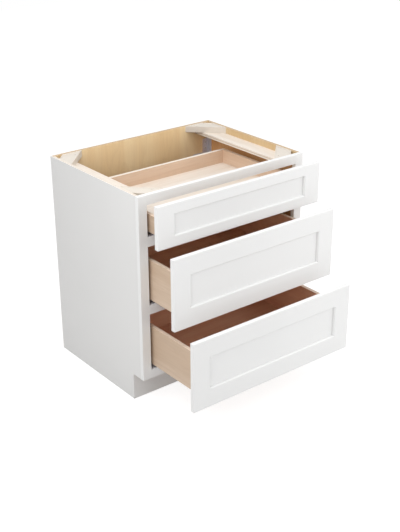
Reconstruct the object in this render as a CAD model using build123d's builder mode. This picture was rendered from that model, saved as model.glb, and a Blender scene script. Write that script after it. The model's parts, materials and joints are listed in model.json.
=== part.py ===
from build123d import *
import os

# A framed kitchen base cabinet with three drawers, in millimetres.
# X runs to the right as seen from the front, Y runs towards the wall and Z runs up.
# The origin is on the floor in the middle of the cabinet's back, so the wall is the plane
# Y = 0 and the front faces -Y. The drawers are drawn as they stand, partly open.
# Drawer 1 is the top one. A span is a pair of values along one axis.

# ---------------------------------------------------------------- driving dimensions

# Carcass of plywood panels
cabinet_width = 812.8
cabinet_depth = 609.6  # from the wall to the front of the face frame
cabinet_height = 876.3
panel_thickness = 12.7
housing_depth = 6.35  # how far the back and the bottom are let into the sides
toe_kick_height = 114.3
toe_kick_depth = 69.85
floor_drop = 6.35  # from the top of the bottom rail down to the bottom panel

# Face frame
frame_thickness = 19.05
frame_member_width = 38.1
tenon_length = 12.7
tenon_thickness = 6.35
tenon_shoulder = 6.35
top_opening_height = 127.0  # the two lower openings share the rest

# Side rails and corner braces at the top of the carcass
side_rail_width = 69.85
side_rail_thickness = 15.875
brace_height = 27.0
brace_leg = 127.0
brace_corner_cut = 36.0
brace_wall = 3.0
brace_plate_drop = 3.0  # from the rim down to the plate
brace_hole_from_side = 80.0
brace_hole_from_end = 25.0
brace_hole_radius = 2.75
brace_screw_places = (54.0, 104.0)  # along each leg from the corner

# Drawer fronts, of frame and panel
front_thickness = 19.05
front_stile_width = 79.4
top_front_rail_width = 44.45
lower_front_rail_width = 79.4
front_bevel = 4.0
front_panel_recess = 9.5
front_panel_thickness = 6.35
front_groove_depth = 9.5
front_panel_gap = 0.8
side_reveal = 7.95
top_reveal = 9.5
bottom_reveal = 3.2
front_gap = 3.175
top_front_height = 168.3  # the two lower fronts share the rest

# Drawer boxes
box_thickness = 15.875
box_side_gap = 12.7  # from the opening's edge to the box
box_foot_gap = 16.0  # from the opening's bottom up to the box
top_box_headroom = 41.15  # above the box in its opening
lower_box_headroom = 60.2
box_rear_space = 84.6  # from the closed box to the wall
bottom_recess = 6.35  # from the foot of the box up to the bottom panel
bottom_thickness = 5.5
bottom_groove_depth = 6.35
bottom_edge_gap = 0.5
dovetail_pitch = 25.4
pin_narrow = 6.0
pin_wide = 10.0
drawer_travels = (84.0, 175.3, 286.3)  # how far each drawer stands open

# Undermount slides
slide_width = 28.0
slide_sheet = 1.5
slide_gap = 0.3  # running gap between the members
slide_side_gap = 0.5  # from the box side to the drawer member
slide_front_setback = 3.0
fixed_flange_gap = 2.3  # from the fixed member's flange to the opening's edge
fixed_lip_height = 10.0
fixed_rear_space = 73.2  # from the fixed member to the wall
middle_front_setback = 19.6
middle_rear_space = 150.0
drawer_member_depth = 10.0
channel_gap = 2.0  # from the walls of the fixed member up to those of the drawer member
notch_gap = 1.0  # around the slide in the back of the box
hook_height = 14.0
hook_pin_radius = 2.5
hook_pin_length = 8.0
hook_pin_rise = 10.0  # above the underside of the box bottom
hook_gap = 0.1
hook_hole_spare = 0.7  # how much deeper the hook's hole is than the pin

# Rear brackets
bracket_sheet = 2.0
bracket_arm_length = 77.0
bracket_lip_height = 10.0
bracket_foot_height = 26.0
bracket_height = 89.0
bracket_side_overlap = 6.3  # how far the upright reaches into the opening's width
bracket_flange_length = 27.0  # along the side panel from the back panel
bracket_screw_heights = (45.0, 72.0)

# Locking clips and their release levers
clip_length = 50.0
clip_width = 36.0
clip_height = 12.0
lever_width = 14.0
lever_slot_gap = 0.5
lever_slot_depth = 9.0
lever_slot_start = 3.0
lever_start = 6.0
lever_plate_height = 3.0
lever_pad_length = 12.0
lever_pad_drop = 2.5
lever_pivot_from_front = 40.0
lever_pivot_rise = 3.5  # above the underside of the clip
lever_boss_radius = 3.2
trunnion_radius = 1.25
trunnion_length = 2.0
trunnion_gap = 0.05

# Screws and bumpers
screw_radius = 2.0
screw_head_radius = 4.0
screw_head_height = 2.4
screw_point = 2.5
screw_length = 13.0
front_screw_length = 25.0
front_screw_inset = 7.0  # from the box side to the screw
front_screw_margin = 14.0  # from the top of the box, and above its bottom panel
pilot_gap = 0.1
pilot_spare = 0.3
bumper_radius = 4.5
bumper_height = 1.5
bumper_touch_gap = 0.1
bumper_inset = 12.0

# ------------------------------------------------------------------- derived places

half_width = cabinet_width / 2
inside_half_width = half_width - panel_thickness
housed_half_width = inside_half_width + housing_depth
opening_half_width = half_width - frame_member_width
frame_front = -cabinet_depth
frame_back = frame_front + frame_thickness
back_inside = -panel_thickness
toe_face = frame_front + toe_kick_depth

lower_opening_height = (
    cabinet_height - toe_kick_height - 4 * frame_member_width - top_opening_height
) / 2
opening_heights = (top_opening_height, lower_opening_height, lower_opening_height)
rail_names = ("top_rail", "upper_mid_rail", "lower_mid_rail", "bottom_rail")
rail_tops = [cabinet_height]
for opening_height in opening_heights:
    rail_tops.append(rail_tops[-1] - frame_member_width - opening_height)

bottom_panel_top = rail_tops[-1] - floor_drop
bottom_panel_span = (bottom_panel_top - panel_thickness, bottom_panel_top)
brace_bottom = cabinet_height - brace_height
brace_plate_span = (
    cabinet_height - brace_plate_drop - brace_wall,
    cabinet_height - brace_plate_drop,
)

front_half_width = half_width - side_reveal
front_inner = front_half_width - front_stile_width
lower_front_height = (
    cabinet_height
    - toe_kick_height
    - top_reveal
    - bottom_reveal
    - 2 * front_gap
    - top_front_height
) / 2
front_heights = (top_front_height, lower_front_height, lower_front_height)
front_rail_widths = (top_front_rail_width, lower_front_rail_width, lower_front_rail_width)
closed_front_gap = bumper_height + bumper_touch_gap

box_half_width = opening_half_width - box_side_gap
box_inner_half_width = box_half_width - box_thickness
box_headrooms = (top_box_headroom, lower_box_headroom, lower_box_headroom)
slide_outer = box_inner_half_width - slide_side_gap
slide_inner = slide_outer - slide_width
flange_outer = opening_half_width - fixed_flange_gap
middle_outer = slide_outer - slide_sheet - slide_gap
middle_inner = slide_inner + slide_sheet + slide_gap


class Drawer:
    """Where one drawer lies in its opening, as far open as it stands."""

    def __init__(self, number):
        level = number - 1
        self.number = number
        self.travel = drawer_travels[level]
        self.opening_bottom = rail_tops[number]
        self.front_top = (
            cabinet_height - top_reveal - sum(front_heights[:level]) - level * front_gap
        )
        self.front_bottom = self.front_top - front_heights[level]
        self.rail_width = front_rail_widths[level]
        self.front_back = frame_front - closed_front_gap - self.travel
        self.front_face = self.front_back - front_thickness
        self.box_front = self.front_back
        self.box_back = -box_rear_space - self.travel
        self.box_bottom = self.opening_bottom + box_foot_gap
        self.box_top = self.opening_bottom + opening_heights[level] - box_headrooms[level]
        self.box_front_inside = self.box_front + box_thickness
        self.box_back_inside = self.box_back - box_thickness
        self.bottom_under = self.box_bottom + bottom_recess
        self.bottom_over = self.bottom_under + bottom_thickness
        self.panel_front = self.front_face + front_panel_recess
        self.panel_back = self.panel_front + front_panel_thickness


drawers = [Drawer(number) for number in (1, 2, 3)]

# Screw seats: where the head bears, and which way the shank runs
brace_seats = []
for side in (-1, 1):
    for wall, inward in ((frame_back, 1), (back_inside, -1)):
        corner_x = side * inside_half_width
        for place in brace_screw_places:
            height = (brace_bottom + brace_plate_span[0]) / 2
            along_frame = (corner_x - side * place, wall + inward * brace_wall, height)
            along_side = (corner_x - side * brace_wall, wall + inward * place, height)
            brace_seats.append((along_frame, (0, -inward, 0)))
            brace_seats.append((along_side, (side, 0, 0)))

bracket_seats = []
slide_seats = []
for drawer in drawers:
    for side in (-1, 1):
        upright_inner = opening_half_width - bracket_side_overlap
        upright_x = side * (upright_inner + inside_half_width) / 2
        for height in bracket_screw_heights:
            seat = (upright_x, back_inside - bracket_sheet, drawer.opening_bottom + height)
            bracket_seats.append((seat, (0, 1, 0)))
        flange_x = side * (slide_outer + flange_outer - slide_sheet) / 2
        flange_y = frame_front + frame_thickness / 2
        seat = (flange_x, flange_y, drawer.opening_bottom + slide_sheet)
        slide_seats.append((seat, (0, 0, -1)))


# --------------------------------------------------------------------- basic shapes


def block(x, y, z, mode=Mode.ADD):
    """A rectangular block that fills three spans."""
    with Locations(((x[0] + x[1]) / 2, (y[0] + y[1]) / 2, (z[0] + z[1]) / 2)):
        Box(abs(x[1] - x[0]), abs(y[1] - y[0]), abs(z[1] - z[0]), mode=mode)


def rod(start, direction, radius, length, mode=Mode.ADD):
    """A round rod from a point along a direction."""
    with BuildSketch(Plane(origin=start, z_dir=direction)) as section:
        Circle(radius)
    extrude(section.sketch, amount=length, mode=mode)


def turned(start, direction, outline):
    """A turned piece: points of (radius, distance along the direction) go round a line."""
    along = Vector(*direction)
    across = Vector(1, 0, 0) if abs(along.Z) > abs(along.X) else Vector(0, 0, 1)
    with BuildSketch(Plane(origin=start, x_dir=across, z_dir=across.cross(along))) as half:
        with BuildLine():
            Polyline(*outline, close=True)
        make_face()
    revolve(half.sketch, axis=Axis(start, direction))


def screw(start, direction, length):
    """A pan-head screw whose head bears at a point."""
    turned(
        start,
        direction,
        (
            (0, -screw_head_height),
            (screw_head_radius / 2, -screw_head_height),
            (screw_head_radius, -screw_head_height / 2),
            (screw_head_radius, 0),
            (screw_radius, 0),
            (screw_radius, length - screw_point),
            (0, length),
        ),
    )


def pilot_holes(seats, length):
    """The holes that a row of screws needs."""
    for start, direction in seats:
        rod(start, direction, screw_radius + pilot_gap, length + pilot_spare, Mode.SUBTRACT)


def save(piece, name):
    """Names a finished piece and writes it."""
    piece.part.label = name
    export_step(piece.part, f"parts/{name}.step")


# -------------------------------------------------------------------------- carcass


def make_side_panel(name, side):
    """A side with its toe notch, rabbeted for the back and housed for the bottom."""
    housing = (side * inside_half_width, side * housed_half_width)
    with BuildPart() as panel:
        with BuildSketch(Plane.YZ.offset(side * inside_half_width)):
            with BuildLine():
                Polyline(
                    (0, 0),
                    (toe_face, 0),
                    (toe_face, toe_kick_height),
                    (frame_back, toe_kick_height),
                    (frame_back, cabinet_height),
                    (0, cabinet_height),
                    close=True,
                )
            make_face()
        extrude(amount=side * panel_thickness)
        block(housing, (back_inside, 0), (0, cabinet_height), Mode.SUBTRACT)
        block(housing, (frame_back, back_inside), bottom_panel_span, Mode.SUBTRACT)
        own_seats = [seat for seat in brace_seats if seat[1] == (side, 0, 0)]
        pilot_holes(own_seats, screw_length)
    save(panel, name)


def make_back_panel():
    """The back, which reaches from the floor to the top."""
    with BuildPart() as panel:
        block(
            (-housed_half_width, housed_half_width),
            (back_inside, 0),
            (0, cabinet_height),
        )
        own_seats = [seat for seat in brace_seats if seat[1] == (0, 1, 0)]
        pilot_holes(own_seats + bracket_seats, screw_length)
    save(panel, "back_panel")


def make_bottom_panel():
    """The cabinet's floor, housed in both sides."""
    with BuildPart() as panel:
        block(
            (-housed_half_width, housed_half_width),
            (frame_back, back_inside),
            bottom_panel_span,
        )
    save(panel, "bottom_panel")


def make_toe_kick_board():
    """The board set back under the bottom rail."""
    with BuildPart() as board:
        block(
            (-inside_half_width, inside_half_width),
            (toe_face, toe_face + panel_thickness),
            (0, bottom_panel_span[0]),
        )
    save(board, "toe_kick_board")


# ----------------------------------------------------------------------- face frame


def tenon(side, rail_top, mode=Mode.ADD):
    """The tenon at one end of a rail, or with SUBTRACT its mortise in the stile."""
    centre = frame_front + frame_thickness / 2
    block(
        (side * opening_half_width, side * (opening_half_width + tenon_length)),
        (centre - tenon_thickness / 2, centre + tenon_thickness / 2),
        (rail_top - frame_member_width + tenon_shoulder, rail_top - tenon_shoulder),
        mode,
    )


def make_stile(name, side):
    """An upright of the face frame, with a mortise for each rail."""
    with BuildPart() as stile:
        block(
            (side * opening_half_width, side * half_width),
            (frame_front, frame_back),
            (toe_kick_height, cabinet_height),
        )
        for rail_top in rail_tops:
            tenon(side, rail_top, Mode.SUBTRACT)
    save(stile, name)


def make_rail(name, rail_top):
    """A rail of the face frame, with its two tenons."""
    with BuildPart() as rail:
        block(
            (-opening_half_width, opening_half_width),
            (frame_front, frame_back),
            (rail_top - frame_member_width, rail_top),
        )
        for side in (-1, 1):
            tenon(side, rail_top)
        if name == "top_rail":
            pilot_holes([seat for seat in brace_seats if seat[1] == (0, -1, 0)], screw_length)
        else:
            own_seats = [s for s in slide_seats if s[0][2] == rail_top + slide_sheet]
            pilot_holes(own_seats, screw_length)
    save(rail, name)


# ------------------------------------------------------- side rails and corner braces


def make_side_rail(name, side):
    """A flat rail along one side, just under the corner braces."""
    with BuildPart() as rail:
        block(
            (side * (inside_half_width - side_rail_width), side * inside_half_width),
            (frame_back, back_inside),
            (brace_bottom - side_rail_thickness, brace_bottom),
        )
    save(rail, name)


def brace_outline(side, wall, inward):
    """A brace's outline from above: a right triangle with its corner cut off."""
    corner_x = side * inside_half_width
    Polygon(
        (corner_x - side * brace_corner_cut, wall),
        (corner_x - side * brace_leg, wall),
        (corner_x, wall + inward * brace_leg),
        (corner_x, wall + inward * brace_corner_cut),
        align=None,
    )


def make_corner_braces(name, wall, inward):
    """The left and right braces at the front or back: a plate inside a deep rim."""
    with BuildPart() as braces:
        for side in (-1, 1):
            with BuildSketch(Plane.XY.offset(brace_bottom)) as outline:
                brace_outline(side, wall, inward)
            extrude(outline.sketch, amount=brace_height)
            with BuildSketch(Plane.XY.offset(brace_bottom)) as inside:
                add(outline.sketch_local)
                offset(amount=-brace_wall, kind=Kind.INTERSECTION)
            under_plate = brace_plate_span[0] - brace_bottom
            extrude(inside.sketch, amount=under_plate, mode=Mode.SUBTRACT)
            over_plate = Pos(0, 0, brace_plate_span[1] - brace_bottom) * inside.sketch
            extrude(over_plate, amount=brace_plate_drop, mode=Mode.SUBTRACT)
            hole_x = side * (inside_half_width - brace_hole_from_side)
            hole_y = wall + inward * brace_hole_from_end
            rod(
                (hole_x, hole_y, brace_plate_span[0]),
                (0, 0, 1),
                brace_hole_radius,
                brace_wall,
                Mode.SUBTRACT,
            )
        pilot_holes([(start, direction) for start, direction in brace_seats], brace_wall)
    save(braces, name)


def make_cabinet_screws():
    """The screws of the braces, the rear brackets and the fixed slide members."""
    with BuildPart() as screws:
        for start, direction in brace_seats + bracket_seats + slide_seats:
            screw(start, direction, screw_length)
    save(screws, "cabinet_screws")


# --------------------------------------------------------------------------- slides


def make_slide_fixed_members():
    """The six channels fixed in the cabinet, each with a flange on the rail."""
    with BuildPart() as members:
        length = (frame_front + slide_front_setback, -fixed_rear_space)
        for drawer in drawers:
            base = drawer.opening_bottom
            wall_top = drawer.bottom_under - drawer_member_depth - channel_gap
            for side in (-1, 1):
                block(
                    (side * slide_inner, side * flange_outer),
                    length,
                    (base, base + slide_sheet),
                )
                for wall_inner, top in (
                    (slide_inner, wall_top),
                    (slide_outer - slide_sheet, wall_top),
                    (flange_outer - slide_sheet, base + fixed_lip_height),
                ):
                    block(
                        (side * wall_inner, side * (wall_inner + slide_sheet)),
                        length,
                        (base, top),
                    )
        pilot_holes([(s, (0, 0, -1)) for s, _ in slide_seats], slide_sheet)
    save(members, "slide_fixed_members")


def make_slide_middle_members(drawer):
    """The pair of running members between the fixed and the drawer members."""
    low = drawer.opening_bottom + slide_sheet + slide_gap
    high = drawer.bottom_under - slide_sheet - slide_gap
    shift = drawer.travel / 2
    length = (frame_front + middle_front_setback - shift, -middle_rear_space - shift)
    middle = (low + high) / 2
    with BuildPart() as members:
        for side in (-1, 1):
            block(
                (side * middle_inner, side * middle_outer),
                length,
                (middle - slide_sheet / 2, middle + slide_sheet / 2),
            )
            for wall_inner in (middle_inner, middle_outer - slide_sheet):
                block(
                    (side * wall_inner, side * (wall_inner + slide_sheet)),
                    length,
                    (low, high),
                )
    save(members, f"slide_middle_members_{drawer.number}")


def make_slide_drawer_members(drawer):
    """The pair of channels under a box, each with a rear hook that enters the box back."""
    top = drawer.bottom_under
    foot = top - drawer_member_depth
    length = (drawer.box_front_inside, drawer.box_back)
    with BuildPart() as members:
        for side in (-1, 1):
            block((side * slide_inner, side * slide_outer), length, (top - slide_sheet, top))
            for wall_inner in (slide_inner, slide_outer - slide_sheet):
                block(
                    (side * wall_inner, side * (wall_inner + slide_sheet)),
                    length,
                    (foot, top),
                )
            block(
                (side * slide_inner, side * slide_outer),
                (drawer.box_back, drawer.box_back + slide_sheet),
                (top - slide_sheet, top + hook_height),
            )
            rod(
                (side * (slide_inner + slide_outer) / 2, drawer.box_back, top + hook_pin_rise),
                (0, -1, 0),
                hook_pin_radius,
                hook_pin_length,
            )
    save(members, f"slide_drawer_members_{drawer.number}")


def make_slide_rear_brackets():
    """The six brackets that carry the fixed members at the back panel."""
    with BuildPart() as brackets:
        for drawer in drawers:
            base = drawer.opening_bottom
            plate = (back_inside - bracket_sheet, back_inside)
            arm = (back_inside - bracket_arm_length, back_inside)
            foot_inner = slide_inner - bracket_sheet
            foot_outer = flange_outer + bracket_sheet
            upright_inner = opening_half_width - bracket_side_overlap
            for side in (-1, 1):
                block(
                    (side * foot_inner, side * foot_outer),
                    arm,
                    (base - bracket_sheet, base),
                )
                for wall_inner in (foot_inner, flange_outer):
                    block(
                        (side * wall_inner, side * (wall_inner + bracket_sheet)),
                        arm,
                        (base - bracket_sheet, base + bracket_lip_height),
                    )
                block(
                    (side * foot_inner, side * inside_half_width),
                    plate,
                    (base - bracket_sheet, base + bracket_foot_height),
                )
                block(
                    (side * upright_inner, side * inside_half_width),
                    plate,
                    (base - bracket_sheet, base + bracket_height),
                )
                block(
                    (side * (inside_half_width - bracket_sheet), side * inside_half_width),
                    (back_inside - bracket_flange_length, back_inside),
                    (base - bracket_sheet, base + bracket_height),
                )
        pilot_holes(bracket_seats, bracket_sheet)
    save(brackets, "slide_rear_brackets")


# ---------------------------------------------------------------- clips and levers


def clip_slot_x(side):
    """The span of a clip's lever slot across the cabinet."""
    centre = slide_inner - clip_width / 2
    reach = lever_width / 2 + lever_slot_gap
    return side * (centre - reach), side * (centre + reach)


def pivot_line(drawer):
    """The depth and height of the line that both levers of a drawer turn about."""
    depth = drawer.box_front_inside + lever_pivot_from_front
    return depth, drawer.bottom_under - clip_height + lever_pivot_rise


def trunnions(drawer, side, radius, mode=Mode.ADD):
    """The two stubs that a lever turns on, or with SUBTRACT their holes."""
    centre = side * (slide_inner - clip_width / 2)
    reach = lever_width / 2 + lever_slot_gap + trunnion_length
    rod((centre - reach, *pivot_line(drawer)), (1, 0, 0), radius, 2 * reach, mode)


def make_locking_clips(drawer):
    """The pair of clips that hold the box front on the slides."""
    start = drawer.box_front_inside
    clip_foot = drawer.bottom_under - clip_height
    slot_end = start + lever_pivot_from_front + lever_boss_radius + 2 * lever_slot_gap
    with BuildPart() as clips:
        for side in (-1, 1):
            block(
                (side * (slide_inner - clip_width), side * slide_inner),
                (start, start + clip_length),
                (clip_foot, drawer.bottom_under),
            )
            block(
                clip_slot_x(side),
                (start + lever_slot_start, slot_end),
                (clip_foot, clip_foot + lever_slot_depth),
                Mode.SUBTRACT,
            )
            trunnions(drawer, side, trunnion_radius + trunnion_gap, Mode.SUBTRACT)
    save(clips, f"locking_clips_{drawer.number}")


def make_release_levers(drawer):
    """The pair of levers that free the drawer when their front ends are pressed up."""
    start = drawer.box_front_inside + lever_start
    pivot_y, pivot_z = pivot_line(drawer)
    plate_low = pivot_z - lever_boss_radius - slide_gap
    with BuildPart() as levers:
        for side in (-1, 1):
            low_x = side * (slide_inner - clip_width / 2) - lever_width / 2
            with BuildSketch(Plane.YZ.offset(low_x)):
                with BuildLine():
                    Polyline(
                        (start, plate_low - lever_pad_drop),
                        (start + lever_pad_length, plate_low - lever_pad_drop),
                        (start + lever_pad_length + lever_pad_drop, plate_low),
                        (pivot_y, plate_low + slide_gap),
                        (pivot_y, plate_low + lever_plate_height),
                        (start, plate_low + lever_plate_height),
                        close=True,
                    )
                make_face()
                with Locations((pivot_y, pivot_z)):
                    Circle(lever_boss_radius)
            extrude(amount=lever_width)
            trunnions(drawer, side, trunnion_radius)
    save(levers, f"release_levers_{drawer.number}")


# -------------------------------------------------------------------- drawer fronts


def member_profile(outer, inner, drawer):
    """The section of a front's frame member as points of (across, depth)."""
    out = 1 if outer > inner else -1
    face = drawer.front_face
    return (
        (outer, face),
        (outer, drawer.front_back),
        (inner, drawer.front_back),
        (inner, drawer.panel_back),
        (inner + out * front_groove_depth, drawer.panel_back),
        (inner + out * front_groove_depth, drawer.panel_front),
        (inner, drawer.panel_front),
        (inner, face + front_bevel),
        (inner + out * front_bevel, face),
    )


def front_stile(drawer, side, mode=Mode.ADD):
    """One upright of a drawer front, bevelled and grooved along its inner edge."""
    profile = member_profile(side * front_half_width, side * front_inner, drawer)
    with BuildSketch(Plane.XY.offset(drawer.front_bottom)) as section:
        with BuildLine():
            Polyline(*profile, close=True)
        make_face()
    extrude(section.sketch, amount=drawer.front_top - drawer.front_bottom, dir=(0, 0, 1), mode=mode)


def make_front_stiles(drawer):
    """Both uprights of a drawer front, bored for the screws from the box."""
    with BuildPart() as stiles:
        for side in (-1, 1):
            front_stile(drawer, side)
        pilot_holes(front_seats(drawer), front_screw_length)
    save(stiles, f"front_stiles_{drawer.number}")


def make_front_rails(drawer):
    """The rails of a drawer front, coped over the stiles, with tenons in their grooves."""
    reach = front_inner + front_bevel
    with BuildPart() as rails:
        for outer, up in ((drawer.front_top, 1), (drawer.front_bottom, -1)):
            inner = outer - up * drawer.rail_width
            profile = member_profile(outer, inner, drawer)
            with BuildSketch(Plane.YZ.offset(-reach)):
                with BuildLine():
                    Polyline(*((depth, across) for across, depth in profile), close=True)
                make_face()
            extrude(amount=2 * reach, dir=(1, 0, 0))
            for side in (-1, 1):
                block(
                    (side * front_inner, side * (front_inner + front_groove_depth)),
                    (drawer.panel_front, drawer.panel_back),
                    (inner + up * front_groove_depth, outer),
                )
        for side in (-1, 1):
            front_stile(drawer, side, Mode.SUBTRACT)
    save(rails, f"front_rails_{drawer.number}")


def make_front_panel(drawer):
    """The flat panel, held in the grooves of the stiles and rails."""
    let_in = front_groove_depth - front_panel_gap
    with BuildPart() as panel:
        block(
            (-front_inner - let_in, front_inner + let_in),
            (drawer.panel_front, drawer.panel_back),
            (
                drawer.front_bottom + drawer.rail_width - let_in,
                drawer.front_top - drawer.rail_width + let_in,
            ),
        )
    save(panel, f"front_panel_{drawer.number}")


def front_seats(drawer):
    """Where the screws from inside the box into the front's stiles bear."""
    x = box_inner_half_width - front_screw_inset
    heights = (drawer.bottom_over + front_screw_margin, drawer.box_top - front_screw_margin)
    return [
        ((side * x, drawer.box_front_inside, height), (0, -1, 0))
        for side in (-1, 1)
        for height in heights
    ]


def make_front_screws(drawer):
    """The screws that hold a front on its box."""
    with BuildPart() as screws:
        for start, direction in front_seats(drawer):
            screw(start, direction, front_screw_length)
    save(screws, f"front_screws_{drawer.number}")


def make_bumpers(drawer):
    """The soft domes on the back of a front, one near each corner."""
    x = front_half_width - bumper_inset
    with BuildPart() as bumpers:
        for side in (-1, 1):
            for height in (
                drawer.front_bottom + bumper_inset,
                drawer.front_top - bumper_inset,
            ):
                turned(
                    (side * x, drawer.front_back, height),
                    (0, 1, 0),
                    (
                        (0, 0),
                        (bumper_radius, 0),
                        (bumper_radius, bumper_height / 3),
                        (bumper_radius * 2 / 3, bumper_height),
                        (0, bumper_height),
                    ),
                )
    save(bumpers, f"bumpers_{drawer.number}")


# --------------------------------------------------------------------- drawer boxes


def pin_row(drawer, tip, base):
    """The dovetail pins at one corner, narrow at the tip and wide at the base.

    The back has none at its foot, where its notch lets the slide through.
    """
    height = drawer.box_top - drawer.box_bottom
    tails = max(2, round(height / dovetail_pitch))
    first = 1 if tip == drawer.box_back else 0
    for pin in range(first, tails + 1):
        middle = drawer.box_bottom + pin * height / tails
        Polygon(
            (base, middle - pin_wide / 2),
            (base, middle + pin_wide / 2),
            (tip, middle + pin_narrow / 2),
            (tip, middle - pin_narrow / 2),
            align=None,
        )


def box_ends(drawer):
    """The front and back of a box as (outer face, inner face)."""
    return (
        (drawer.box_front, drawer.box_front_inside),
        (drawer.box_back, drawer.box_back_inside),
    )


def bottom_groove(drawer):
    """The groove for the bottom panel, cut in all four boards of the box."""
    reach = box_inner_half_width + bottom_groove_depth
    block(
        (-reach, reach),
        (
            drawer.box_front_inside - bottom_groove_depth,
            drawer.box_back_inside + bottom_groove_depth,
        ),
        (drawer.bottom_under, drawer.bottom_over),
        Mode.SUBTRACT,
    )


def make_box_side(drawer, name, side):
    """A side of the box, with dovetails cut in both ends."""
    with BuildPart() as board:
        block(
            (side * box_inner_half_width, side * box_half_width),
            (drawer.box_front, drawer.box_back),
            (drawer.box_bottom, drawer.box_top),
        )
        for outer_face, inner_face in box_ends(drawer):
            with BuildSketch(Plane.YZ.offset(side * box_inner_half_width)):
                pin_row(drawer, outer_face, inner_face)
            extrude(amount=side * box_thickness, mode=Mode.SUBTRACT)
        bottom_groove(drawer)
    save(board, f"{name}_{drawer.number}")


def box_end_board(drawer, outer_face, inner_face):
    """The front or back board of a box, with its dovetail pins."""
    block(
        (-box_inner_half_width, box_inner_half_width),
        (outer_face, inner_face),
        (drawer.box_bottom, drawer.box_top),
    )
    middle = ((outer_face + inner_face) / 2, (drawer.box_bottom + drawer.box_top) / 2)
    for side in (-1, 1):
        with BuildSketch(Plane.YZ.offset(side * box_inner_half_width)) as pins:
            pin_row(drawer, outer_face, inner_face)
            with Locations(middle):
                Rectangle(
                    box_thickness,
                    drawer.box_top - drawer.box_bottom,
                    mode=Mode.INTERSECT,
                )
        extrude(pins.sketch, amount=side * box_thickness, dir=(1, 0, 0))
    bottom_groove(drawer)


def make_box_front(drawer):
    """The front board of the box, behind the drawer front."""
    with BuildPart() as board:
        box_end_board(drawer, drawer.box_front, drawer.box_front_inside)
        pilot_holes(front_seats(drawer), front_screw_length)
    save(board, f"box_front_{drawer.number}")


def make_box_back(drawer):
    """The back board of the box, notched and bored for the slides and their hooks."""
    thickness = (drawer.box_back_inside, drawer.box_back)
    with BuildPart() as board:
        box_end_board(drawer, drawer.box_back, drawer.box_back_inside)
        for side in (-1, 1):
            block(
                (side * (slide_inner - notch_gap), side * box_inner_half_width),
                thickness,
                (drawer.box_bottom, drawer.bottom_under),
                Mode.SUBTRACT,
            )
            rod(
                (
                    side * (slide_inner + slide_outer) / 2,
                    drawer.box_back,
                    drawer.bottom_under + hook_pin_rise,
                ),
                (0, -1, 0),
                hook_pin_radius + hook_gap,
                hook_pin_length + hook_hole_spare,
                Mode.SUBTRACT,
            )
    save(board, f"box_back_{drawer.number}")


def make_box_bottom(drawer):
    """The bottom panel, let into the groove of all four boards."""
    let_in = bottom_groove_depth - bottom_edge_gap
    with BuildPart() as panel:
        block(
            (-box_inner_half_width - let_in, box_inner_half_width + let_in),
            (drawer.box_front_inside - let_in, drawer.box_back_inside + let_in),
            (drawer.bottom_under, drawer.bottom_over),
        )
    save(panel, f"box_bottom_{drawer.number}")


# ---------------------------------------------------------------------- all pieces

os.makedirs("parts", exist_ok=True)

for side_name, side in (("left", -1), ("right", 1)):
    make_side_panel(f"side_panel_{side_name}", side)
    make_stile(f"stile_{side_name}", side)
    make_side_rail(f"side_rail_{side_name}", side)
make_back_panel()
make_bottom_panel()
make_toe_kick_board()
for rail_name, rail_top in zip(rail_names, rail_tops):
    make_rail(rail_name, rail_top)
make_corner_braces("corner_braces_front", frame_back, 1)
make_corner_braces("corner_braces_back", back_inside, -1)
make_cabinet_screws()
make_slide_fixed_members()
make_slide_rear_brackets()

for drawer in drawers:
    make_slide_middle_members(drawer)
    make_slide_drawer_members(drawer)
    make_locking_clips(drawer)
    make_release_levers(drawer)
    make_front_stiles(drawer)
    make_front_rails(drawer)
    make_front_panel(drawer)
    make_front_screws(drawer)
    make_bumpers(drawer)
    make_box_side(drawer, "box_side_left", -1)
    make_box_side(drawer, "box_side_right", 1)
    make_box_front(drawer)
    make_box_back(drawer)
    make_box_bottom(drawer)
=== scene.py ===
"""Finishes, small details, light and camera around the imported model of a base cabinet.

Lengths are in metres, in the frame of the model: X to the right, Y towards the wall, Z up,
with the origin on the floor in the middle of the cabinet's back.
"""

import json
import math

import bmesh
import bpy
from mathutils import Matrix, Vector

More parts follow.
